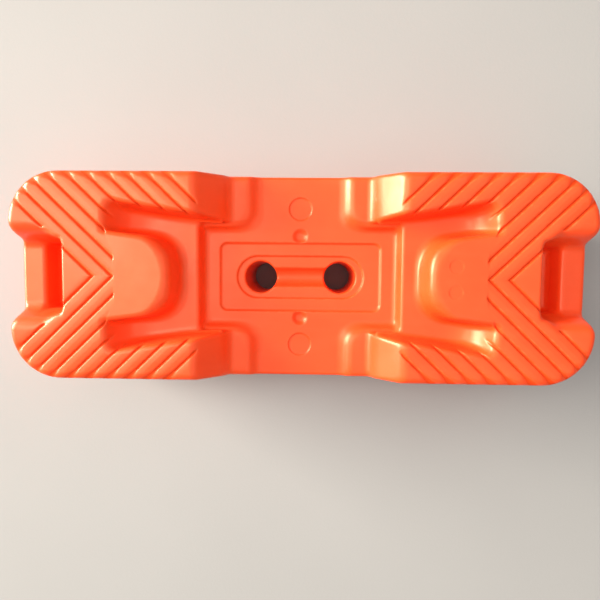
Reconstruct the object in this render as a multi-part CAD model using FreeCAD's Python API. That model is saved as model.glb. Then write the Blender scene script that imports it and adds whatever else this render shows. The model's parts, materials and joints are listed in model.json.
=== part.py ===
import FreeCAD, Part
import math
import os

# Ballast foot for temporary fencing: a hollow blow-moulded block that is filled with concrete.
# Frame: origin under the middle of the block on the ground face, +X along the length,
# +Y across it, +Z up. All sizes are in millimetres. The block is symmetric about X = 0 and Y = 0.

# --- driving dimensions of the block ---
LENGTH = 600.0
WIDTH = 220.0
HEIGHT = 150.0
CORNER = 52.0            # plan radius of the four outer corners
EDGE_ROUND = 8.0         # round of the top and bottom rims
END_DRAFT = math.radians(1.8)
SIDE_DRAFT = math.radians(2.6)
WALL = 3.5               # moulded skin
SHRINK_GAP = 0.4         # between the skin and the set concrete
OPEN_AIR = 12.0          # how far a cutter stands above the face it cuts
SMALL_AIR = 0.5          # the same where another face is close above
RAMP_AIR = 3.0           # the same where the ledge's wall runs out into the ramp
ON_FACE = 0.01           # how close a point lies to a plane that it belongs to

# --- levels of the upper face ---
CHANNEL_Z = 117.0
LEDGE_Z = 113.0
DECK_Z = 105.0
PANEL_Z = 102.5
RACETRACK_Z = 100.0
RAMP_FOOT_Z = 119.0
HANDLE_Z = 123.0
SLOT_Z = 98.0

# --- plan of the upper face ---
RAMP_TOP_X = 105.5
RAMP_FOOT_X = 77.4
LEDGE_FOOT_X = 75.0
LEDGE_RUN = 2.6                  # lean of the ledge's wall, up to the foot of the ramp
STEP_X = 103.8                   # foot of the step between the deck and the channels
STRIP_Y = 58.5                   # half width of the level strip at that step
STRIP_RUN = 1.2
DECK_X = 104.2                   # half length of the deck between the steps
DECK_X_RUN = 2.3
DECK_Y = 51.5                    # half width of the deck beside the ledges
DECK_Y_RUN = 3.0
WAIST_X = 46.5                   # half length of the deck where it runs out to the sides
WAIST_RUN = 8.0
WAIST_BEVEL = 10.0               # inner corner between those two
BEVEL_RUN = 5.5
PANEL = (87.0, 36.5, 7.0)        # half length, half width, corner
RACETRACK = (69.0, 22.8)         # half length, half width
POST_X = 43.5                    # the two post holes stand at +/- this
POST_NECK_R = 16.2               # takes a 32 mm post
POST_MOUTH_R = 17.3
POST_CHAMFER = 2.0
NECK_LOW_Z = 40.0
NECK_HIGH_Z = 60.0
TROUGH_R = 10.0
TROUGH_DEPTH = 8.0
DISC_DIMPLE = (74.0, 12.0, 1.3)  # place along Y, radius, depth
CONE_DIMPLE = (44.5, 8.3, 3.2)
CONE_TIP = 0.5                   # floor radius of the cone dimple, as a share of its rim's

# --- walls of the handle and the channel in plan, at their own floors ---
# Each row is a corner's X and Y and the run of the wall that starts there. The corners go
# counter-clockwise from the first one at Y > 0.
NOTCH = [(LENGTH / 2 + OPEN_AIR, 34.5, 11.5), (251.8, 34.5, 5.1), (244.3, 27.0, 1.0)]
SLOT = [(270.2, 33.0, 2.5), (245.6, 33.0, 0.6)]
SLOT_FAR_RUN = 2.0
CHANNEL = [(126.0, 7.9, 5.8), (128.0, 22.3, 5.6), (134.0, 33.2, 5.2), (144.0, 40.6, 4.4),
           (158.0, 44.6, 4.0), (181.0, 47.8, 19.0), (177.7, 69.4, 5.0), (118.0, 60.4, 4.5),
           (60.0, 57.5, 0.0)]
TONGUE_END_RUN = 5.8

# --- chevron tread ---
TREAD_ANGLE = math.radians(44.0)
TREAD_PITCH = 20.4               # along X
TREAD_APEX_X = 189.5             # where the first whole chevron meets the centre line
TREAD_WIDTH = 2.6
TREAD_DEPTH = 1.8
# Y at which each groove starts, by its number: -1 is nearest the handle, 8 nearest the ramp
TREAD_STARTS = {-1: 0.0, 0: 0.0, 1: 19.0, 2: 46.5, 3: 64.0,
                4: 74.0, 5: 72.0, 6: 69.0, 7: 65.0, 8: 74.0}
INNER_TREAD_END_Y = 25.0         # the groove nearest the handle stops before the notch
OUTER_TREAD_START_Y = 50.0       # and goes on beyond it

# --- underside ---
SOLE_RELIEF = (238.0, 76.0, 24.0, 3.0)   # half length, half width, corner, depth
SCALLOP_DEEP = 26.0                      # finger hold under each end, along X
SCALLOP_HALF = 40.0
SCALLOP_HIGH = 18.0

# --- screw plugs in pockets of the underside ---
POCKET_Z = 12.0
GASKET_THICK = 2.0
GASKET_RIM = 1.0                 # how far the gasket stays inside the flange's rim
GASKET_BORE_GAP = 0.4
FLANGE_THICK = 5.0
THREAD_GAP = 0.08
NECK_WALL = 3.5
NECK_SPARE = 2.0                 # how far the neck stands above the plug's end
PLUGS = {
    "filler": {"x": 150.0, "bore_r": 22.0, "flange_r": 28.0, "pocket_r": 34.0,
               "reach": 16.0, "drive": 19.2, "drive_deep": 12.0},
    "vent": {"x": -150.0, "bore_r": 11.0, "flange_r": 16.0, "pocket_r": 21.0,
             "reach": 12.0, "drive": 9.7, "drive_deep": 9.0},
}


def flat_face(corners):
    return Part.Face(Part.makePolygon(corners + corners[:1]))


def carved(solid, cutters):
    """The solid with each cutter taken away in turn."""
    for cutter in cutters:
        solid = solid.cut(cutter)
    return solid


def moved_outline(points, steps):
    """Counter-clockwise outline with each edge moved outwards by its own step."""
    count = len(points)
    lines = []
    for i in range(count):
        (x0, y0), (x1, y1) = points[i], points[(i + 1) % count]
        span = math.hypot(x1 - x0, y1 - y0)
        normal = ((y1 - y0) / span, (x0 - x1) / span)
        lines.append((normal, normal[0] * x0 + normal[1] * y0 + steps[i]))
    moved = []
    for i in range(count):
        (a, b), reach_before = lines[i - 1]
        (c, d), reach_after = lines[i]
        cross = a * d - b * c
        x = (reach_before * d - reach_after * b) / cross
        y = (a * reach_after - c * reach_before) / cross
        moved.append((x, y))
    return moved


def pocket(outline, floor_z, rim_z, skin, top_z):
    """Cutter with sloping walls. outline lists (x, y, run) from the floor's corners; run is how
    far the wall that starts there leans outwards between floor_z and rim_z."""
    points = [(x, y) for x, y, run in outline]
    lean = [run * (top_z - floor_z + skin) / (rim_z - floor_z) for x, y, run in outline]
    floor = [FreeCAD.Vector(x, y, floor_z - skin)
             for x, y in moved_outline(points, [skin] * len(points))]
    top = [FreeCAD.Vector(x, y, top_z)
           for x, y in moved_outline(points, [skin + step for step in lean])]
    walls = [flat_face([floor[i - 1], floor[i], top[i], top[i - 1]]) for i in range(len(points))]
    return Part.Solid(Part.Shell([flat_face(floor), flat_face(top)] + walls))


def both_sides(half, last_run):
    """Outline symmetric about Y = 0, from its (x, y, run) corners at Y > 0 in counter-clockwise
    order. The last corner's run belongs to the wall that crosses Y = 0 towards -Y, and last_run
    to the wall that comes back to the first corner."""
    below = []
    for i in range(len(half) - 1, -1, -1):
        x, y, run = half[i]
        below.append((x, -y, half[i - 1][2] if i > 0 else last_run))
    return half + below


def rounded_rect(half_x, half_y, radius, z):
    """Closed wire of a rectangle with round corners, centred on the Z axis."""
    edges = []
    bulge = radius * (1.0 - math.sqrt(0.5))
    for sx, sy in ((1, -1), (1, 1), (-1, 1), (-1, -1)):
        beside = FreeCAD.Vector(sx * half_x, sy * (half_y - radius), z)
        middle = FreeCAD.Vector(sx * (half_x - bulge), sy * (half_y - bulge), z)
        along = FreeCAD.Vector(sx * (half_x - radius), sy * half_y, z)
        ends = (along, beside) if sx * sy < 0 else (beside, along)
        edges.append(Part.Arc(ends[0], middle, ends[1]).toShape())
    sides = []
    for i in range(4):
        start = edges[i].valueAt(edges[i].LastParameter)
        end = edges[(i + 1) % 4].valueAt(edges[(i + 1) % 4].FirstParameter)
        sides.append(Part.LineSegment(start, end).toShape())
    loop = [edge for pair in zip(edges, sides) for edge in pair]
    return Part.Wire(loop)


def slab(wire, height):
    return Part.Face(wire).extrude(FreeCAD.Vector(0, 0, height))


def drum(radius, low_z, high_z, x=0.0, y=0.0):
    return Part.makeCylinder(radius, high_z - low_z, FreeCAD.Vector(x, y, low_z))


def cone(low_r, low_z, high_r, high_z, x=0.0, y=0.0):
    return Part.makeCone(low_r, high_r, high_z - low_z, FreeCAD.Vector(x, y, low_z))


def mirrored_x(shape):
    return shape.mirror(FreeCAD.Vector(0, 0, 0), FreeCAD.Vector(1, 0, 0))


def mirrored_y(shape):
    return shape.mirror(FreeCAD.Vector(0, 0, 0), FreeCAD.Vector(0, 1, 0))


def block(skin):
    """Outer block, widest at the parting line half way up, its rims rounded."""
    rise = HEIGHT / 2 - skin
    half_x = LENGTH / 2 - skin
    half_y = WIDTH / 2 - skin
    middle = rounded_rect(half_x, half_y, CORNER - skin, HEIGHT / 2)
    half_x -= rise * math.tan(END_DRAFT)
    half_y -= rise * math.tan(SIDE_DRAFT)
    halves = []
    for z in (skin, HEIGHT - skin):
        end = rounded_rect(half_x, half_y, CORNER - skin, z)
        halves.append(Part.makeLoft([middle, end], True, True))
    solid = halves[0].fuse(halves[1])
    rims = [edge for edge in solid.Edges
            if all(abs(abs(v.Z - HEIGHT / 2) - rise) < ON_FACE for v in edge.Vertexes)]
    return solid.makeFillet(EDGE_ROUND - skin, rims)


def handle_cutters(skin):
    """Notch at the +X end down to the carry bar, and the finger slot behind the bar."""
    notch = both_sides(NOTCH, 0.0)
    slot = both_sides(SLOT, SLOT_FAR_RUN)
    return [pocket(notch, HANDLE_Z, HEIGHT, skin, HEIGHT + OPEN_AIR),
            pocket(slot, SLOT_Z, HANDLE_Z, skin, HANDLE_Z + OPEN_AIR)]


def channel_cutter(skin):
    """Horseshoe channel at +X: its two prongs run along both sides of the centre tongue."""
    outline = both_sides(CHANNEL, TONGUE_END_RUN)
    return pocket(outline, CHANNEL_Z, HEIGHT, skin, HEIGHT + OPEN_AIR)


def across(half_x, half_y, side_run, end_run):
    """Outline of a rectangle about the origin. The walls at both ends of X lean by end_run."""
    return both_sides([(half_x, half_y, side_run), (-half_x, half_y, end_run)], end_run)


def saddle_cutters(skin):
    """Ramps, ledges and deck between the raised ends."""
    aside = WIDTH / 2 + OPEN_AIR
    slope = (RAMP_TOP_X - RAMP_FOOT_X) / (HEIGHT - RAMP_FOOT_Z)
    ramp = across(RAMP_FOOT_X, aside, 0.0, slope)
    ledge = across(LEDGE_FOOT_X, aside, 0.0, LEDGE_RUN)
    strip = across(STEP_X, STRIP_Y, 0.0, STRIP_RUN)
    quarter = [(DECK_X, DECK_Y), (WAIST_X + WAIST_BEVEL, DECK_Y), (WAIST_X, DECK_Y + WAIST_BEVEL),
               (WAIST_X, aside)]
    half = quarter + [(-x, y) for x, y in reversed(quarter)]
    runs = [DECK_Y_RUN, BEVEL_RUN, WAIST_RUN, 0.0, WAIST_RUN, BEVEL_RUN, DECK_Y_RUN, DECK_X_RUN]
    deck = both_sides([(x, y, run) for (x, y), run in zip(half, runs)], DECK_X_RUN)
    return [pocket(ramp, RAMP_FOOT_Z, RAMP_FOOT_Z + 1.0, skin, HEIGHT + OPEN_AIR),
            pocket(ledge, LEDGE_Z, RAMP_FOOT_Z, skin, RAMP_FOOT_Z + RAMP_AIR),
            pocket(strip, LEDGE_Z, CHANNEL_Z, skin, CHANNEL_Z + SMALL_AIR),
            pocket(deck, DECK_Z, LEDGE_Z, skin, CHANNEL_Z + SMALL_AIR)]


def deck_cutters(skin):
    """Stepped panel round the post holes, the trough between them and the four dimples."""
    half_x, half_y, corner = PANEL
    rim = rounded_rect(half_x + skin, half_y + skin, corner + skin, PANEL_Z - skin)
    panel = slab(rim, OPEN_AIR)
    half_x, half_y = RACETRACK
    rim = rounded_rect(half_x + skin, half_y + skin, half_y + skin - ON_FACE, RACETRACK_Z - skin)
    track = slab(rim, OPEN_AIR)
    trough = Part.makeCylinder(TROUGH_R + skin, 2 * POST_X,
                               FreeCAD.Vector(-POST_X, 0, RACETRACK_Z - TROUGH_DEPTH + TROUGH_R),
                               FreeCAD.Vector(1, 0, 0))
    cutters = [panel, track, trough]
    for side in (-1, 1):
        place, radius, depth = DISC_DIMPLE
        floor_z = DECK_Z - depth - skin
        cutters.append(drum(radius + skin, floor_z, DECK_Z + OPEN_AIR, y=side * place))
        place, radius, depth = CONE_DIMPLE
        floor_z = DECK_Z - depth - skin
        cutters.append(cone(radius * CONE_TIP + skin, floor_z, radius + skin, DECK_Z, y=side * place))
    return cutters


def post_hole(x, skin):
    """Through hole for a post: tapered from both faces to a straight neck half way down."""
    neck = POST_NECK_R + skin
    mouth = POST_MOUTH_R + skin
    flare = mouth + POST_CHAMFER
    floor_z = SOLE_RELIEF[3]
    return [cone(mouth, -OPEN_AIR, neck, NECK_LOW_Z, x),
            drum(neck, NECK_LOW_Z, NECK_HIGH_Z, x),
            cone(neck, NECK_HIGH_Z, mouth, RACETRACK_Z, x),
            drum(mouth, RACETRACK_Z, RACETRACK_Z + OPEN_AIR, x),
            cone(mouth, RACETRACK_Z - POST_CHAMFER - skin, flare, RACETRACK_Z - skin, x),
            cone(flare, floor_z + skin, mouth, floor_z + POST_CHAMFER + skin, x)]


def sole_cutters(skin):
    """Shallow relief of the ground face, finger scallops under both ends, and the plug pockets."""
    half_x, half_y, corner, depth = SOLE_RELIEF
    relief = rounded_rect(half_x + skin, half_y + skin, corner + skin, -OPEN_AIR)
    cutters = [slab(relief, OPEN_AIR + depth + skin)]
    corner = FreeCAD.Vector(LENGTH / 2 - SCALLOP_DEEP - skin, -SCALLOP_HALF - skin, -OPEN_AIR)
    deep = SCALLOP_DEEP + skin + OPEN_AIR
    high = SCALLOP_HIGH + skin + OPEN_AIR
    scallop = Part.makeBox(deep, 2 * (SCALLOP_HALF + skin), high, corner)
    cutters += [scallop, mirrored_x(scallop)]
    for plug in PLUGS.values():
        cutters.append(drum(plug["pocket_r"] + skin, -OPEN_AIR, POCKET_Z + skin, plug["x"]))
    return cutters


def body(skin):
    """The block with everything cut from it. A skin above 0 gives the same form, that much
    further inside its surface, which is the cavity behind the moulded wall."""
    ends = handle_cutters(skin) + [channel_cutter(skin)]
    cutters = ends + [mirrored_x(cutter) for cutter in ends]
    cutters += saddle_cutters(skin) + deck_cutters(skin) + sole_cutters(skin)
    cutters += post_hole(POST_X, skin) + post_hole(-POST_X, skin)
    return carved(block(skin), cutters).removeSplitter()


def tread_point(number, y):
    """Where a groove's line passes a given Y."""
    return TREAD_APEX_X - number * TREAD_PITCH + y / math.tan(TREAD_ANGLE), y


def tread_line(number):
    """One groove of the tread in the quadrant X > 0, Y > 0, as its start and end in plan.
    Numbers run inwards from -1, the groove nearest the handle."""
    low_y = TREAD_STARTS[number]
    high_y = INNER_TREAD_END_Y if number < 0 else WIDTH / 2
    return tread_point(number, low_y), tread_point(number, high_y)


def tread_cutter(start, end):
    """Groove with round ends along one line, cut from the top of the pads."""
    run = FreeCAD.Vector(end[0] - start[0], end[1] - start[1], 0)
    heading = math.degrees(math.atan2(run.y, run.x))
    floor_z = HEIGHT - TREAD_DEPTH
    corner = FreeCAD.Vector(0, -TREAD_WIDTH / 2, 0)
    bar = Part.makeBox(run.Length, TREAD_WIDTH, 2 * TREAD_DEPTH, corner)
    bar.rotate(FreeCAD.Vector(0, 0, 0), FreeCAD.Vector(0, 0, 1), heading)
    bar.translate(FreeCAD.Vector(start[0], start[1], floor_z))
    return bar.fuse(drum(TREAD_WIDTH / 2, floor_z, floor_z + 2 * TREAD_DEPTH, start[0], start[1]))


def tread():
    """All grooves of the four pads as one cutter."""
    lines = [tread_line(number) for number in TREAD_STARTS]
    lines.append((tread_point(-1, OUTER_TREAD_START_Y), tread_point(-1, WIDTH / 2)))
    quadrant = [tread_cutter(start, end) for start, end in lines]
    half = quadrant + [mirrored_y(cutter) for cutter in quadrant]
    return half + [mirrored_x(cutter) for cutter in half]


def shell():
    """Moulded skin with the threaded necks of its two underside openings."""
    skin = carved(body(0.0), tread()).cut(body(WALL))
    for plug in PLUGS.values():
        neck_top = POCKET_Z + plug["reach"] + NECK_SPARE
        neck = drum(plug["bore_r"] + NECK_WALL, POCKET_Z, neck_top, plug["x"])
        skin = skin.fuse(neck).cut(drum(plug["bore_r"], -OPEN_AIR, neck_top, plug["x"]))
    return skin.removeSplitter()


def ballast_core():
    """Set concrete in the cavity, clear of the skin, the necks and the ends of the plugs."""
    core = body(WALL + SHRINK_GAP)
    for plug in PLUGS.values():
        clear_r = plug["bore_r"] + NECK_WALL + SHRINK_GAP
        clear_z = POCKET_Z + plug["reach"] + NECK_SPARE + SHRINK_GAP
        core = core.cut(drum(clear_r, 0.0, clear_z, plug["x"]))
    return core


def screw_plug(plug):
    """Flanged plug with its threaded shank upwards and a square drive socket from below."""
    flange_z = POCKET_Z - GASKET_THICK - FLANGE_THICK
    top_z = POCKET_Z - GASKET_THICK + plug["reach"]
    solid = drum(plug["flange_r"], flange_z, flange_z + FLANGE_THICK, plug["x"])
    solid = solid.fuse(drum(plug["bore_r"] - THREAD_GAP, flange_z, top_z, plug["x"]))
    side = plug["drive"]
    socket = Part.makeBox(side, side, plug["drive_deep"],
                          FreeCAD.Vector(plug["x"] - side / 2, -side / 2, flange_z))
    return solid.cut(socket).removeSplitter()


def gasket(plug):
    """Flat ring between the plug's flange and the pocket's ceiling."""
    ring = drum(plug["flange_r"] - GASKET_RIM, POCKET_Z - GASKET_THICK, POCKET_Z, plug["x"])
    return ring.cut(drum(plug["bore_r"] + GASKET_BORE_GAP, 0.0, POCKET_Z, plug["x"]))


def save(shape, node):
    solids = shape.Solids
    state = "valid" if shape.isValid() else "INVALID"
    print(node, len(solids), "solid(s)", round(shape.Volume / 1000.0, 1), "cm3", state)
    whole = solids[0] if len(solids) == 1 else Part.makeCompound(solids)
    whole.exportStep("parts/" + node + ".step")


os.makedirs("parts", exist_ok=True)
save(shell(), "shell")
save(ballast_core(), "ballast_core")
for name, sizes in PLUGS.items():
    save(screw_plug(sizes), name + "_plug")
    save(gasket(sizes), name + "_gasket")
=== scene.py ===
import json
import math
from concurrent.futures import ThreadPoolExecutor

import bpy
import numpy as np
from mathutils import Matrix, Vector


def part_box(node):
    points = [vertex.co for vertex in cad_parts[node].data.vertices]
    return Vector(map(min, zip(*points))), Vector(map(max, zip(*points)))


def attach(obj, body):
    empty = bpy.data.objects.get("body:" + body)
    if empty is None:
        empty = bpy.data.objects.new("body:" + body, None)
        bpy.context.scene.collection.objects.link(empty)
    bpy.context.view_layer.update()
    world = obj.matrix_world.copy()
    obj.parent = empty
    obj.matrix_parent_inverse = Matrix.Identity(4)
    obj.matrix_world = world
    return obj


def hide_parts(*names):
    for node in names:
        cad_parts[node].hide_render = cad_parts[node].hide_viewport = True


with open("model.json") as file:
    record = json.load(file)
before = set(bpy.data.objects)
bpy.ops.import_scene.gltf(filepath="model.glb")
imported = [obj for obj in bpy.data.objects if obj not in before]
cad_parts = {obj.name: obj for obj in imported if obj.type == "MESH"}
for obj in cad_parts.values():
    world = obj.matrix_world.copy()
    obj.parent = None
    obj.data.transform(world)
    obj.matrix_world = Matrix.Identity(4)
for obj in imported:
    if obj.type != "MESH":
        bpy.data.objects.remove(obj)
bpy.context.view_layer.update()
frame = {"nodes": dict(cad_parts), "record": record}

MM = 0.001

# ---------------------------------------------------------------------------
# Driving sizes of the moulded skin, in millimetres, in the frame's own axes
# ---------------------------------------------------------------------------
shell_low, shell_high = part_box("shell")
LENGTH = (shell_high.x - shell_low.x) / MM
WIDTH = (shell_high.y - shell_low.y) / MM
HEIGHT = (shell_high.z - shell_low.z) / MM
PARTING_Z = HEIGHT / 2
CORNER = 52.0
END_DRAFT = math.tan(math.radians(1.8))
SIDE_DRAFT = math.tan(math.radians(2.6))
WALL = 3.5

CHANNEL_Z = 117.0
LEDGE_Z = 113.0
DECK_Z = 105.0
PANEL_Z = 102.5
RACETRACK_Z = 100.0
RAMP_FOOT_Z = 119.0
HANDLE_Z = 123.0
SLOT_Z = 98.0
SOLE_Z = 3.0
POCKET_Z = 12.0

RAMP_TOP_X = 105.5
RAMP_FOOT_X = 77.4
LEDGE_FOOT_X = 75.0
STEP_X = 103.8
WAIST_X = 46.5
DECK_Y = 51.5
STRIP_Y = 58.5
NOTCH_INNER_X = 244.3
NOTCH_Y = 34.5
NOTCH_CORNER = 217.3
SLOT_INNER_X = 244.8
SLOT_OUTER_X = 270.2
SLOT_Y = 33.0
ARM_OUTER = ((178.0, 69.5), (118.0, 60.4), (60.0, 57.5))
ARM_INNER = ((150.0, 43.5), (178.0, 47.4))
ARM_END = (0.989, 0.151, 186.3)
TONGUE_END_X = 126.0
PANEL = (87.0, 36.5, 7.0)
RACETRACK = (69.0, 22.8)
TROUGH_R = 10.0
TROUGH_DEPTH = 8.0
DISC_DIMPLE = (74.0, 12.0, 1.3)
CONE_DIMPLE = (44.5, 8.3, 3.2)
SOLE_RELIEF = (238.0, 76.0, 24.0)
SCALLOP_DEEP = 26.0
SCALLOP_HALF = 40.0
SCALLOP_HIGH = 18.0
MARK_X = 157.0
MARK_Y = 13.0
MARK_R = 7.0
MARK_DEEP = 0.35

TREAD_ANGLE = math.radians(44.0)
TREAD_PITCH = 20.4
TREAD_APEX_X = 189.5
TREAD_DEPTH = 1.5
TREAD_HALF = 1.2
TREAD_RIM_SPREAD = 1.6
PILLOW_DEPTH = 0.45
PILLOW_HALF = 4.5
FIRST_TREAD = -1.0
LAST_TREAD = 8.0

mounts = {mount["name"]: mount for mount in frame["record"]["mounts"]}
POST_X = mounts["post_hole_right"]["pos_m"][0] / MM
POST_NECK_R = mounts["post_hole_right"]["dims"]["r_mm"]
POST_MOUTH_R = 17.3
NECK_HALF = mounts["post_hole_right"]["dims"]["length_mm"] / 2
NECK_Z = mounts["post_hole_right"]["pos_m"][2] / MM

plug_low, plug_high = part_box("filler_plug")
PLUG_X = (plug_low.x + plug_high.x) / 2 / MM
FLANGE_LOW = plug_low.z / MM
FLANGE_THICK = 5.0
FLANGE_MID = FLANGE_LOW + FLANGE_THICK / 2
GASKET_THICK = 2.0
NECK_WALL = 3.5
FILLER = {
    "bore": 22.0, "flange": 28.0, "pocket": 34.0, "top": 26.0, "neck_top": 30.0,
    "drive": 19.2, "drive_deep": 12.0, "pitch": 4.0, "ribs": 36,
}
VENT = {
    "bore": 11.0, "flange": 16.0, "pocket": 21.0, "top": 22.0, "neck_top": 26.0,
    "drive": 9.7, "drive_deep": 9.0, "pitch": 2.5, "ribs": 24,
}

SKIN_STEP = 0.8
SMALL_STEP = 0.4
SKIN_FACES = 190_000
SMALL_FACES = 24_000


# ---------------------------------------------------------------------------
# The skin as a smooth field: below 0 inside the moulding, 0 on its surface
# ---------------------------------------------------------------------------
def smooth_max(a, b, width):
    h = np.clip(0.5 + 0.5 * (a - b) / width, 0.0, 1.0)
    return b + (a - b) * h + width * h * (1.0 - h)


def smooth_min(a, b, width):
    return -smooth_max(-a, -b, width)


def carve(solid, cutter, width):
    return smooth_max(solid, -cutter, width)


def lean(plan, z, floor_z, run_per_mm):
    """Wall that leans outwards by run_per_mm as it rises from its foot at floor_z."""
    return (plan - run_per_mm * (z - floor_z)) / math.hypot(1.0, run_per_mm)


def beside(x, y, start, end):
    """Distance to the right of the line from start to end, in plan."""
    dx, dy = end[0] - start[0], end[1] - start[1]
    return ((x - start[0]) * dy - (y - start[1]) * dx) / math.hypot(dx, dy)


def round_rect(x, y, half_x, half_y, radius):
    qx = x - (half_x - radius)
    qy = y - (half_y - radius)
    outside = np.hypot(np.maximum(qx, 0.0), np.maximum(qy, 0.0))
    return outside + np.minimum(np.maximum(qx, qy), 0.0) - radius


def smooth_step(value, low, high):
    t = np.clip((value - low) / (high - low), 0.0, 1.0)
    return t * t * (3.0 - 2.0 * t)


def handle(x, y, z):
    """Notch down to the carry bar, and the finger slot behind the bar."""
    side = lean(y - NOTCH_Y, z, HANDLE_Z, 11.5 / 27)
    corner = lean((NOTCH_CORNER - x + y) / math.sqrt(2.0), z, HANDLE_Z, 5.1 / 27)
    inner = lean(NOTCH_INNER_X - x, z, HANDLE_Z, 1.0 / 27)
    notch = smooth_max(smooth_max(side, corner, 6.0), inner, 3.0)
    notch = smooth_max(notch, HANDLE_Z - z, 7.0)
    near, far = lean(SLOT_INNER_X - x, z, SLOT_Z, 0.5 / 25), lean(x - SLOT_OUTER_X, z, SLOT_Z, 2.0 / 25)
    slot = smooth_max(np.maximum(near, far), lean(y - SLOT_Y, z, SLOT_Z, 2.5 / 25), 5.0)
    slot = smooth_max(slot, SLOT_Z - z, 8.0)
    return notch, slot


def channel(x, y, z):
    """Horseshoe channel round the centre tongue."""
    arm = lean(beside(x, y, *ARM_OUTER[:2]), z, CHANNEL_Z, 5.0 / 33)
    arm = smooth_min(arm, lean(beside(x, y, *ARM_OUTER[1:]), z, CHANNEL_Z, 4.5 / 33), 2.0)
    floor = CHANNEL_Z - z
    space = smooth_max(arm, floor, 6.0)
    along_x, along_y, reach = ARM_END
    end = smooth_max(lean(along_x * x + along_y * y - reach, z, CHANNEL_Z, 19.0 / 33), floor, 22.0)
    space = smooth_max(space, end, 9.0)
    side = lean(-beside(x, y, *ARM_INNER), z, CHANNEL_Z, -4.0 / 33)
    tongue = smooth_max(lean(TONGUE_END_X - x, z, CHANNEL_Z, -5.8 / 33), side, 32.0)
    return smooth_max(space, -tongue, 7.0)


def saddle(solid, x, y, z):
    """Ramps, ledges and deck between the raised ends."""
    slope = (RAMP_TOP_X - RAMP_FOOT_X) / (HEIGHT - RAMP_FOOT_Z)
    ramp = smooth_max(lean(x - RAMP_FOOT_X, z, RAMP_FOOT_Z, slope), RAMP_FOOT_Z - z, 2.0)
    solid = carve(solid, ramp, 5.0)
    ledge = smooth_max(lean(x - LEDGE_FOOT_X, z, LEDGE_Z, 0.3), LEDGE_Z - z, 5.0)
    solid = carve(solid, ledge, 6.5)
    strip = smooth_max(lean(x - STEP_X, z, LEDGE_Z, 0.3), y - STRIP_Y, 5.0)
    strip = smooth_max(strip, LEDGE_Z - z, 3.0)
    solid = carve(solid, np.maximum(strip, z - CHANNEL_Z - 1.0), 2.5)
    across = lean(x - WAIST_X, z, DECK_Z, 8.0 / 8)
    along = smooth_max(lean(x - STEP_X - 0.4, z, DECK_Z, 0.28), lean(y - DECK_Y, z, DECK_Z, 3.0 / 8), 6.0)
    plan = smooth_min(across, along, 20.0)
    recess = smooth_max(plan, DECK_Z - z, 5.0)
    return carve(solid, np.maximum(recess, z - CHANNEL_Z - 1.0), 3.6)


def deck(solid, x, y, z):
    """Stepped panel round the post holes, the trough between them and the dimples."""
    panel = smooth_max(lean(round_rect(x, y, *PANEL), z, PANEL_Z, 0.5), PANEL_Z - z, 1.6)
    solid = carve(solid, panel, 1.2)
    half_x, half_y = RACETRACK
    track = lean(round_rect(x, y, half_x, half_y, half_y), z, RACETRACK_Z, 0.35)
    track = smooth_max(track, RACETRACK_Z - z, 1.2)
    solid = carve(solid, track, 1.2)
    trough_z = RACETRACK_Z - TROUGH_DEPTH + TROUGH_R
    trough = smooth_max(np.hypot(y, z - trough_z) - TROUGH_R, x - POST_X, 2.0)
    solid = carve(solid, trough, 2.5)
    place, radius, depth = DISC_DIMPLE
    disc = lean(np.hypot(x, y - place) - radius, z, DECK_Z - depth, 0.4)
    solid = carve(solid, smooth_max(disc, DECK_Z - depth - z, 0.8), 0.8)
    place, radius, depth = CONE_DIMPLE
    cone = lean(np.hypot(x, y - place) - radius * 0.5, z, DECK_Z - depth, radius * 0.5 / depth)
    return carve(solid, smooth_max(cone, DECK_Z - depth - z, 1.0), 0.8)


def sole(solid, x, y, z, pocket_r):
    """Relief of the ground face, finger scallop and plug pocket."""
    half_x, half_y, corner = SOLE_RELIEF
    relief = smooth_max(round_rect(x, y, half_x, half_y, corner), z - SOLE_Z, 3.0)
    solid = carve(solid, relief, 3.0)
    scallop = smooth_max(LENGTH / 2 - SCALLOP_DEEP - x, y - SCALLOP_HALF, 14.0)
    scallop = smooth_max(scallop, z - SCALLOP_HIGH, 12.0)
    solid = carve(solid, scallop, 6.0)
    pocket = smooth_max(np.hypot(x - PLUG_X, y) - pocket_r, z - POCKET_Z, 5.0)
    return carve(solid, pocket, 3.0)


def posts(solid, x, y, z):
    """Tapered post hole with a straight neck half way down."""
    away = np.abs(z - NECK_Z) - NECK_HALF
    taper = (POST_MOUTH_R - POST_NECK_R) / (RACETRACK_Z - NECK_Z - NECK_HALF)
    radius = POST_NECK_R + taper * np.maximum(away, 0.0)
    return carve(solid, np.hypot(x - POST_X, y) - radius, 2.6)


def tread_depth(x, y, inset):
    """How deep the tread is cut at each place in plan, inset from the outline. The grooves
    open out at the rim, which leaves the ribs with round ends."""
    foot = x - y / math.tan(TREAD_ANGLE)
    number = np.round((TREAD_APEX_X - foot) / TREAD_PITCH)
    number = np.clip(number, FIRST_TREAD, LAST_TREAD)
    gap = np.abs(foot - TREAD_APEX_X + number * TREAD_PITCH) * math.sin(TREAD_ANGLE)
    half = TREAD_HALF + TREAD_RIM_SPREAD * smooth_step(-inset, -12.0, -4.0)
    groove = TREAD_DEPTH * np.exp(-(gap / half) ** 2)
    pillow = PILLOW_DEPTH * np.exp(-(gap / PILLOW_HALF) ** 2)
    tongue_edge = TREAD_APEX_X - 1.5 + 0.5 * np.maximum(y - 28.0, 0.0)
    keep = smooth_step(x, tongue_edge - 1.0, tongue_edge + 1.5)
    keep = np.where(y > 55.0, 1.0, keep)
    notch = np.maximum(244.0 - x, y - 46.5)
    notch = np.maximum(notch, (210.0 - x + y) / math.sqrt(2.0))
    keep = keep * smooth_step(notch, 1.5, 5.0)
    ramp = smooth_step(x, RAMP_TOP_X - 4.0, RAMP_TOP_X + 2.0)
    return (groove + pillow) * keep * ramp


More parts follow.
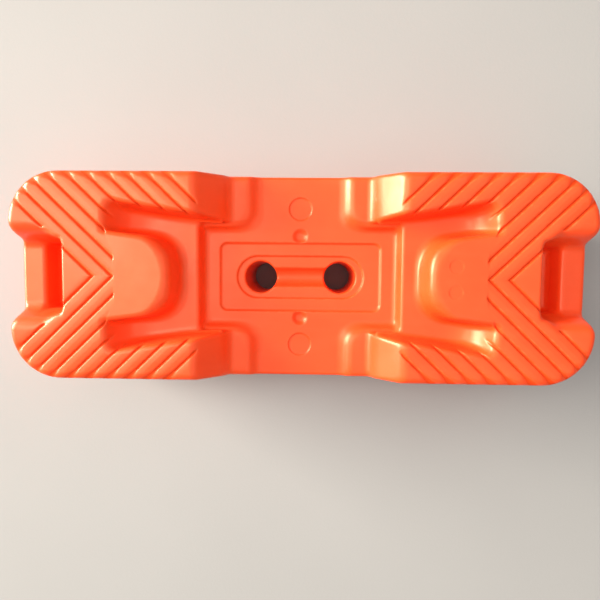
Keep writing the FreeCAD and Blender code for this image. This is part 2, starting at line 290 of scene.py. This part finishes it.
def skin_surface(signed_x, signed_y, z):
    """The outer surface of the moulding. Both ends are alike but for the plug's pocket."""
    x, y = np.abs(signed_x), np.abs(signed_y)
    off_parting = np.sqrt((z - PARTING_Z) ** 2 + 1.0) - 1.0
    half_length, half_width = LENGTH / 2 - END_DRAFT * off_parting, WIDTH / 2 - SIDE_DRAFT * off_parting
    sides = round_rect(x, y, half_length, half_width, CORNER)
    ridge = 0.3 * np.exp(-((z - PARTING_Z) / 1.1) ** 2)
    sides = sides - ridge
    solid = smooth_max(sides + 0.3, np.abs(z - PARTING_Z) - PARTING_Z, 7.5)
    notch, slot = handle(x, y, z)
    solid = carve(solid, notch, 5.5 + 4.5 * smooth_step(y, 28.0, 40.0) * smooth_step(x, 250.0, 265.0))
    solid = carve(solid, slot, 5.5)
    at_tongue_end = (1.0 - smooth_step(x, 140.0, 160.0)) * (1.0 - smooth_step(y, 44.0, 52.0))
    solid = carve(solid, channel(x, y, z), 5.0 + 4.0 * at_tongue_end)
    solid = saddle(solid, x, y, z)
    solid = deck(solid, x, y, z)
    solid = sole(solid, x, y, z, np.where(signed_x > 0, FILLER["pocket"], VENT["pocket"]))
    solid = posts(solid, x, y, z)
    outer_rim = smooth_step(sides, -16.0, -10.0)
    fade = smooth_step(z, HEIGHT - 14.0 + 9.0 * outer_rim, HEIGHT - 4.0 + 3.6 * outer_rim)
    solid = solid + tread_depth(x, y, -sides) * fade
    mark = np.hypot(signed_x - MARK_X, y - MARK_Y) - MARK_R
    return solid + MARK_DEEP * smooth_step(-mark, -0.9, 0.9) * smooth_step(z, HEIGHT - 6.0, HEIGHT - 3.0)


def skin(x, y, z):
    """The hollow skin: everything within WALL of the outer surface, open at the plugs' necks."""
    outer = skin_surface(x, y, z)
    hole_r = np.where(x > 0, FILLER["bore"], VENT["bore"]) + NECK_WALL / 2
    hole = np.maximum(np.hypot(np.abs(x) - PLUG_X, y) - hole_r, z - POCKET_Z - 2 * WALL)
    hollow = np.maximum(outer, -(outer + WALL))
    return np.maximum(hollow, -hole)


# ---------------------------------------------------------------------------
# The plugs, their necks and their seals, each about its own axis
# ---------------------------------------------------------------------------
def thread_radius(r_bore, angle, z, pitch):
    """Radius of the plug's right-hand thread at each height; the neck follows it with a gap."""
    wave = 0.5 + 0.9 * np.cos(2 * math.pi * (z / pitch - angle / (2 * math.pi)))
    return r_bore - 1.5 + 1.3 * np.clip(wave, 0.0, 1.0)


def closure(x, y, z, kind):
    """Ribbed flange, threaded shank and square drive of one plug."""
    r, angle = np.hypot(x, y), np.arctan2(y, x)
    ribs = 0.45 * np.clip(0.4 + np.cos(kind["ribs"] * angle), 0.0, 1.0)
    flange = smooth_max(r - kind["flange"] + 0.45 - ribs, np.abs(z - FLANGE_MID) - FLANGE_THICK / 2, 1.6)
    shank = smooth_max(r - thread_radius(kind["bore"], angle, z, kind["pitch"]), z - kind["top"], 3.0)
    shank = np.maximum(shank, FLANGE_MID - z)
    solid = smooth_min(flange, shank, 1.0)
    ring = smooth_max(np.abs(r - kind["flange"] + 4.5) - 1.2, z - FLANGE_LOW - 0.6, 0.8)
    solid = carve(solid, ring, 0.8)
    half = kind["drive"] / 2
    deep = z - FLANGE_LOW - kind["drive_deep"]
    square = round_rect(np.abs(x), np.abs(y), half, half, 1.2) + 0.03 * (z - FLANGE_LOW)
    return carve(solid, smooth_max(square, deep, 1.0), 1.6)


def neck(x, y, z, kind):
    """Threaded neck inside the skin round one plug."""
    r, angle = np.hypot(x, y), np.arctan2(y, x)
    bore = thread_radius(kind["bore"], angle, z, kind["pitch"]) + 0.3
    tube = smooth_max(r - kind["bore"] - NECK_WALL, bore - r, 0.6)
    middle = (POCKET_Z + kind["neck_top"]) / 2
    return smooth_max(tube, np.abs(z - middle) - (kind["neck_top"] - POCKET_Z) / 2, 1.0)


def gasket(x, y, z, kind):
    """Flat sealing ring, pinched so that its rim bulges."""
    r = np.hypot(x, y)
    middle = (kind["bore"] + kind["flange"] - 0.6) / 2
    half = (kind["flange"] - kind["bore"] - 1.4) / 2
    flat = np.abs(z - POCKET_Z + GASKET_THICK / 2) - GASKET_THICK / 2
    return smooth_max(np.abs(r - middle) - half, flat, 1.8)


# ---------------------------------------------------------------------------
# Field to mesh
# ---------------------------------------------------------------------------
CORNERS = np.array([(i, j, k) for i in (0, 1) for j in (0, 1) for k in (0, 1)])
CELL_EDGES = [(a, b) for a in range(8) for b in range(a + 1, 8) if abs(CORNERS[a] - CORNERS[b]).sum() == 1]


def sample(field, low, high, step, mirrored):
    """Grid values of the field. A mirrored one starts with cells that straddle Y = 0, so that
    their points lie on that plane."""
    axes = [np.arange(a - 1.3 * step, b + 1.6 * step, step) for a, b in zip(low, high)]
    if mirrored:
        axes[1] = np.arange(-0.5 * step, high[1] + 1.6 * step, step)
    x, y, z = [axis.astype(np.float32) for axis in axes]
    slabs = np.array_split(x, max(1, len(x) // 16))
    across, up = y[None, :, None], z[None, None, :]
    with ThreadPoolExecutor(4) as pool:
        parts = list(pool.map(lambda slab: field(slab[:, None, None], across, up), slabs))
    return np.concatenate([part.astype(np.float32) for part in parts]), np.array([x[0], y[0], z[0]], float)


def surface_net(values, origin, step):
    """One point in every grid cell that the zero surface crosses, and quads between them."""
    inside = values < 0.0
    shape = tuple(n - 1 for n in values.shape)
    mixed = np.zeros(shape, np.int8)
    for i, j, k in CORNERS:
        mixed += inside[i:i + shape[0], j:j + shape[1], k:k + shape[2]]
    cells = np.argwhere((mixed > 0) & (mixed < 8))
    at_corner = np.stack([values[tuple((cells + corner).T)] for corner in CORNERS], 1)
    total = np.zeros((len(cells), 3))
    hits = np.zeros(len(cells))
    for a, b in CELL_EDGES:
        va, vb = at_corner[:, a], at_corner[:, b]
        crossed = (va < 0.0) != (vb < 0.0)
        t = np.where(crossed, va / np.where(crossed, va - vb, 1.0), 0.0)
        total += (CORNERS[a] + t[:, None] * (CORNERS[b] - CORNERS[a])) * crossed[:, None]
        hits += crossed
    verts = origin + step * (cells + total / hits[:, None])
    index = np.full(shape, -1, np.int32)
    index[tuple(cells.T)] = np.arange(len(cells))
    quads = []
    for axis in range(3):
        u, v = (axis + 1) % 3, (axis + 2) % 3
        first = np.take(inside, range(values.shape[axis] - 1), axis)
        second = np.take(inside, range(1, values.shape[axis]), axis)
        crossing = np.argwhere(first != second)
        keep = (crossing[:, u] > 0) & (crossing[:, v] > 0)
        keep &= (crossing[:, u] < values.shape[u] - 1) & (crossing[:, v] < values.shape[v] - 1)
        crossing = crossing[keep]
        ring = []
        for du, dv in ((1, 1), (0, 1), (0, 0), (1, 0)):
            cell = crossing.copy()
            cell[:, u] -= du
            cell[:, v] -= dv
            ring.append(index[tuple(cell.T)])
        ring = np.stack(ring, 1)
        outward = first[tuple(crossing.T)]
        quads.append(np.where(outward[:, None], ring, ring[:, ::-1]))
    return verts, np.concatenate(quads)


def fill_mesh(mesh, verts, faces):
    sides = faces.shape[1]
    mesh.vertices.add(len(verts))
    mesh.vertices.foreach_set("co", (verts * MM).astype(np.float32).ravel())
    mesh.loops.add(faces.size)
    mesh.loops.foreach_set("vertex_index", faces.astype(np.int32).ravel())
    mesh.polygons.add(len(faces))
    mesh.polygons.foreach_set("loop_start", np.arange(0, faces.size, sides, dtype=np.int32))
    mesh.update(calc_edges=True)


def thinned(verts, faces, target):
    """The same surface with about as many triangles as target, as arrays."""
    mesh = bpy.data.meshes.new("thinning")
    fill_mesh(mesh, verts, faces)
    piece = bpy.data.objects.new("thinning", mesh)
    bpy.context.scene.collection.objects.link(piece)
    modifier = piece.modifiers.new("thin", "DECIMATE")
    modifier.ratio = min(1.0, target / (2.0 * len(faces)))
    bpy.context.view_layer.update()
    result = bpy.data.meshes.new_from_object(piece.evaluated_get(bpy.context.evaluated_depsgraph_get()))
    result.calc_loop_triangles()
    new_verts = np.empty(len(result.vertices) * 3, np.float32)
    result.vertices.foreach_get("co", new_verts)
    new_faces = np.empty(len(result.loop_triangles) * 3, np.int32)
    result.loop_triangles.foreach_get("vertices", new_faces)
    bpy.data.objects.remove(piece)
    bpy.data.meshes.remove(mesh)
    bpy.data.meshes.remove(result)
    return new_verts.reshape(-1, 3).astype(float) / MM, new_faces.reshape(-1, 3)


def gradient(field, points, reach=0.2):
    x, y, z = points.T
    slope = [field(x + reach, y, z) - field(x - reach, y, z),
             field(x, y + reach, z) - field(x, y - reach, z),
             field(x, y, z + reach) - field(x, y, z - reach)]
    return np.stack(slope, 1) / (2 * reach)


def settled(field, points, step):
    """Points moved onto the zero surface, by no more than one grid step."""
    start = points.copy()
    for _ in range(3):
        slope = gradient(field, points)
        steep = np.maximum((slope ** 2).sum(1), 0.05)
        points = points - (field(*points.T) / steep)[:, None] * slope
        away = points - start
        far = np.linalg.norm(away, axis=1, keepdims=True)
        points = start + away * np.minimum(1.0, step / np.maximum(far, 1e-9))
    return points


def reflected(verts, faces):
    """Both halves of a shape whose rim lies on Y = 0."""
    ends = np.sort(np.concatenate([faces[:, [0, 1]], faces[:, [1, 2]], faces[:, [2, 0]]]), axis=1)
    edges, uses = np.unique(ends, axis=0, return_counts=True)
    rim = np.unique(edges[uses == 1])
    verts = verts.copy()
    verts[rim, 1] = 0.0
    other = np.arange(len(verts)) + len(verts)
    other[rim] = rim
    both = np.concatenate([verts, verts * (1.0, -1.0, 1.0)])
    faces = np.concatenate([faces, other[faces][:, ::-1]])
    used, faces = np.unique(faces, return_inverse=True)
    return both[used], faces.reshape(-1, 3)


def moulded(name, field, low, high, step, target, mirrored=False):
    """An object whose surface is the field's zero surface, shaded with the field's own normals."""
    values, origin = sample(field, low, high, step, mirrored)
    verts, faces = surface_net(values, origin, step)
    del values
    verts, faces = thinned(verts, faces, target / 2 if mirrored else target)
    verts = settled(field, verts, step)
    if mirrored:
        verts, faces = reflected(verts, faces)
    slope = gradient(field, verts)
    normals = slope / np.maximum(np.linalg.norm(slope, axis=1, keepdims=True), 1e-6)
    mesh = bpy.data.meshes.new(name)
    fill_mesh(mesh, verts, faces)
    mesh.polygons.foreach_set("use_smooth", np.ones(len(faces), bool))
    mesh.normals_split_custom_set_from_vertices(normals.tolist())
    piece = bpy.data.objects.new(name, mesh)
    bpy.context.scene.collection.objects.link(piece)
    return piece


# ---------------------------------------------------------------------------
# Materials
# ---------------------------------------------------------------------------
class Paint:
    """A Principled material and short ways to add texture nodes to it."""

    def __init__(self, name):
        self.material = bpy.data.materials.new(name)
        self.material.use_nodes = True
        self.nodes = self.material.node_tree.nodes
        self.links = self.material.node_tree.links
        self.shader = self.nodes["Principled BSDF"]
        self.place = self.nodes.new("ShaderNodeTexCoord").outputs["Object"]

    def fix(self, **values):
        for name, value in values.items():
            self.shader.inputs[name.replace("_", " ")].default_value = value

    def noise(self, scale, detail=3.0, rough=0.5, stretch=None, distortion=0.0):
        node = self.nodes.new("ShaderNodeTexNoise")
        node.inputs["Scale"].default_value = scale
        node.inputs["Detail"].default_value = detail
        node.inputs["Roughness"].default_value = rough
        node.inputs["Distortion"].default_value = distortion
        place = self.place
        if stretch:
            mapping = self.nodes.new("ShaderNodeMapping")
            mapping.inputs["Scale"].default_value = stretch
            self.links.new(place, mapping.inputs["Vector"])
            place = mapping.outputs["Vector"]
        self.links.new(place, node.inputs["Vector"])
        return node.outputs["Fac"]

    def cells(self, scale):
        node = self.nodes.new("ShaderNodeTexVoronoi")
        node.inputs["Scale"].default_value = scale
        self.links.new(self.place, node.inputs["Vector"])
        return node.outputs["Distance"]

    def attribute(self, name):
        node = self.nodes.new("ShaderNodeAttribute")
        node.attribute_name = name
        return node.outputs["Fac"]

    def remap(self, value, low, high, to_low=0.0, to_high=1.0):
        node = self.nodes.new("ShaderNodeMapRange")
        node.interpolation_type = "SMOOTHSTEP"
        limits = {"From Min": low, "From Max": high, "To Min": to_low, "To Max": to_high}
        for socket, number in limits.items():
            node.inputs[socket].default_value = number
        self.links.new(value, node.inputs["Value"])
        return node.outputs["Result"]

    def maths(self, operation, a, b):
        node = self.nodes.new("ShaderNodeMath")
        node.operation = operation
        for socket, value in zip(node.inputs, (a, b)):
            if isinstance(value, (int, float)):
                socket.default_value = value
            else:
                self.links.new(value, socket)
        return node.outputs["Value"]

    def mix(self, share, a, b):
        node = self.nodes.new("ShaderNodeMix")
        node.data_type = "RGBA"
        self.links.new(share, node.inputs["Factor"])
        for socket, value in zip((node.inputs[6], node.inputs[7]), (a, b)):
            if isinstance(value, tuple):
                socket.default_value = value + (1.0,)
            else:
                self.links.new(value, socket)
        return node.outputs[2]

    def bump(self, height, distance, before=None):
        node = self.nodes.new("ShaderNodeBump")
        node.inputs["Distance"].default_value = distance
        self.links.new(height, node.inputs["Height"])
        if before:
            self.links.new(before, node.inputs["Normal"])
        return node.outputs["Normal"]

    def wear(self, colour, rough, normal):
        self.links.new(colour, self.shader.inputs["Base Color"])
        self.links.new(rough, self.shader.inputs["Roughness"])
        self.links.new(normal, self.shader.inputs["Normal"])
        return self.material


def hdpe():
    """Safety-orange blow-moulded polyethylene: satin, faintly waxy, with mould grain and rubbed edges."""
    p = Paint("shell_hdpe")
    p.fix(IOR=1.5, Specular_Tint=(1.0, 0.86, 0.58, 1.0), Subsurface_Weight=0.12,
          Subsurface_Radius=(0.006, 0.002, 0.001), Subsurface_Scale=0.5)
    clouds = p.remap(p.noise(9.0, 3.0), 0.35, 0.65)
    colour = p.mix(clouds, (0.94, 0.066, 0.010), (0.97, 0.078, 0.014))
    flow = p.remap(p.noise(14.0, 4.0, stretch=(1.0, 6.0, 1.0)), 0.4, 0.75, 0.0, 0.35)
    colour = p.mix(flow, colour, (0.98, 0.085, 0.020))
    scratches = p.maths("MULTIPLY", p.remap(p.noise(60.0, 6.0, 0.7, (1.0, 14.0, 14.0), 0.4), 0.60, 0.70),
                        p.remap(p.noise(7.0, 2.0), 0.45, 0.62))
    rubbed = p.maths("MULTIPLY", p.attribute("edge"), p.remap(p.noise(120.0, 5.0, 0.65), 0.42, 0.66))
    colour = p.mix(p.maths("MULTIPLY", rubbed, 0.5), colour, (1.0, 0.17, 0.06))
    colour = p.mix(p.maths("MULTIPLY", scratches, 0.18), colour, (1.0, 0.19, 0.08))
    # Painted shade: concave creases darkened towards brown-red, mottled with noise
    crease_shade_mask = p.maths("MULTIPLY", p.attribute("crease_shade"), p.remap(p.noise(55.0, 5.0, 0.7), 0.40, 0.72))
    colour = p.mix(p.maths("MULTIPLY", crease_shade_mask, 0.35), colour, (0.42, 0.055, 0.020))
    base = p.remap(p.noise(35.0, 4.0), 0.3, 0.7, 0.32, 0.39)
    rough = p.maths("ADD", base, p.maths("MULTIPLY", rubbed, 0.10))
    rough = p.maths("ADD", rough, p.maths("MULTIPLY", scratches, 0.12))
    # Tread grooves: the darker colour is painted groove shade with some dust; the extra roughness and
    # lower specular are dust
    groove_shade_and_dust = p.remap(p.attribute("groove"), 0.0, 1.0)
    rough = p.maths("ADD", rough, p.maths("MULTIPLY", groove_shade_and_dust, 0.30))
    colour = p.mix(p.maths("MULTIPLY", groove_shade_and_dust, 0.30), colour, (0.60, 0.045, 0.010))
    shine = p.maths("SUBTRACT", 0.62, p.maths("MULTIPLY", groove_shade_and_dust, 0.54))
    p.links.new(shine, p.shader.inputs["Specular IOR Level"])
    normal = p.bump(p.noise(22.0, 2.0), 0.0006)
    normal = p.bump(p.noise(900.0, 2.0, 0.6), 0.00006, normal)
    normal = p.bump(scratches, 0.00004, normal)
    return p.wear(colour, rough, normal)


def plug_plastic():
    """Black injection-moulded plastic with a fine spark-eroded grain."""
    p = Paint("plug_plastic")
    p.fix(IOR=1.48)
    scuffs = p.remap(p.noise(160.0, 6.0, 0.7, (1.0, 5.0, 1.0)), 0.58, 0.72)
    colour = p.mix(p.noise(80.0), (0.012, 0.012, 0.013), (0.022, 0.022, 0.023))
    colour = p.mix(p.maths("MULTIPLY", scuffs, 0.35), colour, (0.09, 0.09, 0.09))
    rough = p.remap(p.noise(120.0, 4.0), 0.3, 0.7, 0.42, 0.58)
    normal = p.bump(p.noise(2200.0, 2.0, 0.7), 0.00005)
    return p.wear(colour, rough, p.bump(p.cells(1500.0), 0.00004, normal))


def seal_rubber():
    """Dark grey rubber with a dusty bloom."""
    p = Paint("seal_rubber")
    p.fix(IOR=1.5)
    bloom = p.remap(p.noise(90.0, 5.0, 0.6), 0.45, 0.75)
    colour = p.mix(p.maths("MULTIPLY", bloom, 0.5), (0.020, 0.019, 0.018), (0.085, 0.080, 0.074))
    rough = p.remap(bloom, 0.0, 1.0, 0.62, 0.85)
    return p.wear(colour, rough, p.bump(p.noise(1400.0, 3.0, 0.7), 0.00006))


def concrete():
    """Cast ballast: pale cement, sand grains and small air holes."""
    p = Paint("ballast_concrete")
    p.fix(IOR=1.5)
    grains = p.cells(260.0)
    colour = p.mix(p.remap(p.noise(30.0, 5.0, 0.6), 0.3, 0.7), (0.24, 0.23, 0.21), (0.38, 0.37, 0.34))
    colour = p.mix(p.remap(grains, 0.05, 0.30, 0.6, 0.0), colour, (0.16, 0.145, 0.12))
    holes = p.remap(p.noise(75.0, 2.0), 0.62, 0.70)
    rough = p.remap(p.noise(45.0, 4.0), 0.3, 0.7, 0.80, 0.95)
    normal = p.bump(p.noise(420.0, 6.0, 0.7), 0.0005)
    return p.wear(colour, rough, p.bump(p.maths("SUBTRACT", grains, holes), 0.0008, normal))


def pale_floor():
    """Matt paper backdrop with a trace of tone."""
    p = Paint("studio_floor")
    p.fix(Specular_IOR_Level=0.0)
    colour = p.mix(p.noise(3.0, 3.0), (0.37, 0.365, 0.36), (0.41, 0.405, 0.40))
    rough = p.remap(p.noise(30.0), 0.3, 0.7, 0.72, 0.82)
    return p.wear(colour, rough, p.bump(p.noise(250.0, 3.0), 0.0001))


# ---------------------------------------------------------------------------
# The pieces
# ---------------------------------------------------------------------------
def grooved(x, y, z):
    """Depth of the tread at points near the top of the pads, 0 further down."""
    inset = np.minimum(LENGTH / 2 - np.abs(x), WIDTH / 2 - np.abs(y))
    return tread_depth(np.abs(x), np.abs(y), inset) * smooth_step(z, HEIGHT - 9.0, HEIGHT - 2.0)


def edge_and_crease_shade(piece, field, reach):
    """Stores how exposed each point is: rubbed edges, concave creases whose colour is darkened as painted
    shade, and tread grooves.
    """
    count = len(piece.data.vertices)
    co = np.empty(count * 3)
    piece.data.vertices.foreach_get("co", co)
    x, y, z = (co.reshape(-1, 3) / MM).T
    around = sum(field(x + a * reach, y + b * reach, z + c * reach)
                 for a, b, c in ((1, 0, 0), (-1, 0, 0), (0, 1, 0), (0, -1, 0), (0, 0, 1), (0, 0, -1)))
    bend = around / (6 * reach)
    # The concave bend drives the painted crease shade in the skin's colour
    for name, values in (("edge", smooth_step(bend, 0.04, 0.20)), ("crease_shade", smooth_step(-bend, 0.04, 0.20)),
                         ("groove", smooth_step(grooved(x, y, z), 0.35, 1.0))):
        layer = piece.data.attributes.new(name, "FLOAT", "POINT")
        layer.data.foreach_set("value", values.astype(np.float32))


def finish_piece(piece, body, slot, material, *nodes):
    piece.data.materials.append(material)
    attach(piece, body)
    if nodes:
        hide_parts(*nodes)
    return piece


orange, black, rubber = hdpe(), plug_plastic(), seal_rubber()

half_box = (LENGTH / 2, WIDTH / 2, HEIGHT)
shell = moulded("moulded_shell", skin, (-half_box[0], 0.0, 0.0), half_box, SKIN_STEP, SKIN_FACES, True)
edge_and_crease_shade(shell, skin_surface, 1.6)
finish_piece(shell, "foot", "shell_plastic", orange, "shell")

for kind, label, side in ((FILLER, "filler", 1.0), (VENT, "vent", -1.0)):
    reach = kind["flange"]
    tall = kind["neck_top"]
    makers = (
        ("plug", closure, FLANGE_LOW, kind["top"], "plug_plastic", black, f"{label}_closure"),
        ("gasket", gasket, POCKET_Z - GASKET_THICK, POCKET_Z, "seal_rubber", rubber, f"{label}_seal"),
        ("neck", neck, POCKET_Z, tall, "shell_plastic", orange, "foot"),
    )
    for part, maker, low_z, high_z, slot, material, body in makers:
        field = lambda x, y, z, maker=maker, kind=kind: maker(x, y, z, kind)
        piece = moulded(f"{label}_{part}_detail", field, (-reach, -reach, low_z), (reach, reach, high_z),
                        SMALL_STEP, SMALL_FACES)
        piece.data.transform(Matrix.Translation((side * PLUG_X * MM, 0.0, 0.0)))
        if part == "neck":
            finish_piece(piece, body, slot, material)
        else:
            finish_piece(piece, body, slot, material, f"{label}_{part}")

ballast = frame["nodes"]["ballast_core"]
ballast.data.materials.clear()
ballast.data.materials.append(concrete())

# ---------------------------------------------------------------------------
# Floor, light and camera
# ---------------------------------------------------------------------------
def area_light(name, place, aim, size, power, colour, spread=180.0):
    light = bpy.data.lights.new(name, "AREA")
    light.shape = "RECTANGLE"
    light.size, light.size_y = size
    light.energy = power
    light.spread = math.radians(spread)
    light.color = colour
    lamp = bpy.data.objects.new(name, light)
    lamp.location = place
    lamp.rotation_euler = (Vector(aim) - Vector(place)).to_track_quat("-Z", "Y").to_euler()
    bpy.context.scene.collection.objects.link(lamp)


# Just under the ground face, so that the two never lie in one plane
FLOOR_HALF = 20.0
FLOOR_Z = -0.0001
floor_mesh = bpy.data.meshes.new("studio_floor")
corners = ((-1, -1), (1, -1), (1, 1), (-1, 1))
floor_mesh.from_pydata([(a * FLOOR_HALF, b * FLOOR_HALF, FLOOR_Z) for a, b in corners], [], [(0, 1, 2, 3)])
floor_mesh.materials.append(pale_floor())
floor = bpy.data.objects.new("studio_floor", floor_mesh)
bpy.context.scene.collection.objects.link(floor)

WINDOW_AIM = (0.1, 0.05, 0.12)
WINDOW_COLOUR = (1.0, 0.93, 0.82)
area_light("window", (-4.04, 1.15, 1.20), WINDOW_AIM, (2.30, 1.72), 92.0, WINDOW_COLOUR, 70.0)
area_light("window_halo", (-4.3, 1.05, 1.78), WINDOW_AIM, (4.4, 3.2), 52.0, WINDOW_COLOUR, 90.0)
area_light("upper_left", (-1.0, 0.2, 1.9), (-0.2, 0.0, 0.1), (0.9, 0.9), 18.0, (1.0, 0.96, 0.90))
area_light("ceiling", (0.5, 0.0, 2.2), (0.0, 0.0, 0.0), (2.5, 2.0), 15.0, (1.0, 0.99, 0.96))

world = bpy.data.worlds.new("studio")
world.use_nodes = True
world.node_tree.nodes["Background"].inputs["Color"].default_value = (1.0, 0.96, 0.90, 1.0)
world.node_tree.nodes["Background"].inputs["Strength"].default_value = 0.41
bpy.context.scene.world = world
bpy.context.scene.view_settings.view_transform = "Standard"

camera_data = bpy.data.cameras.new("camera")
camera_data.sensor_width = 36.0
camera_data.lens = 27.98
camera_data.shift_x = -0.0012
camera_data.shift_y = -0.0025
camera_data.clip_start = 0.01
camera = bpy.data.objects.new("camera", camera_data)
camera.location = (0.01495, 0.00867, 0.6172)
camera.rotation_euler = (-0.0619, 0.0277, 0.0099)
bpy.context.scene.collection.objects.link(camera)
bpy.context.scene.camera = camera

bpy.context.view_layer.update()
